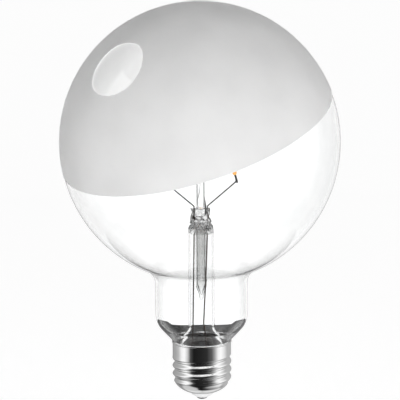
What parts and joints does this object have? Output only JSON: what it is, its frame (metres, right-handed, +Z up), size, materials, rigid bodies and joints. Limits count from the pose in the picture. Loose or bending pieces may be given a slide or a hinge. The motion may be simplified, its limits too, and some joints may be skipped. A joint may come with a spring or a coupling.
{
  "type": "led globe bulb",
  "caption": "Clear glass globe bulb with a tilted half white coat, light strips on a glass stem inside, and a metal screw cap with a centre contact.",
  "frame": {"origin": "centre of the flat face of the centre contact, the lowest point of the bulb", "axes": "+Z runs up the bulb's axis from the contact to the globe; +Y points away from the picture's viewer and +X to their right, so the coat reaches lowest towards -X and -Y"},
  "size_m": [0.1242, 0.1242, 0.179],
  "materials": {
    "clear_glass": "clear blown glass",
    "stem_glass": "clear pressed glass",
    "white_coat": "satin white sprayed coat",
    "nickel_wire": "drawn nickel wire",
    "copper_wire": "copper coated wire",
    "light_strip": "orange phosphor in silicone",
    "cap_shell": "polished nickel plate",
    "insulator": "light grey moulded",
    "contact": "bare metal",
    "cement": "dry basing cement",
    "sleeve": "natural plastic film",
    "board": "white solder mask",
    "black_package": "moulded black",
    "capacitor_can": "dark shrink sleeve",
    "fuse_body": "green ceramic coat"
  },
  "bodies": {
    "root": {"glass_envelope": "clear_glass", "white_coating": "white_coat", "stem_flare": "stem_glass", "exhaust_tube": "stem_glass", "centre_rod": "stem_glass", "dumet_seal_left": "copper_wire", "dumet_seal_right": "copper_wire", "inner_lead_left": "nickel_wire", "inner_lead_right": "nickel_wire", "outer_lead_left": "copper_wire", "outer_lead_right": "copper_wire", "rear_support_wire": "nickel_wire", "top_anchor_left": "nickel_wire", "top_anchor_right": "nickel_wire", "led_filament_left": "light_strip", "led_filament_right": "light_strip", "led_filament_rear_left": "light_strip", "led_filament_rear_right": "light_strip", "filament_pins_left": "nickel_wire", "filament_pins_right": "nickel_wire", "filament_pins_rear_left": "nickel_wire", "filament_pins_rear_right": "nickel_wire", "screw_shell": "cap_shell", "cap_insulator": "insulator", "centre_contact": "contact", "cap_cement": "cement", "insulating_sleeve": "sleeve", "driver_board": "board", "bridge_rectifier": "black_package", "driver_ic": "black_package", "smoothing_capacitor": "capacitor_can", "fuse_resistor": "fuse_body", "shell_lead": "copper_wire"}
  },
  "joints": []
}
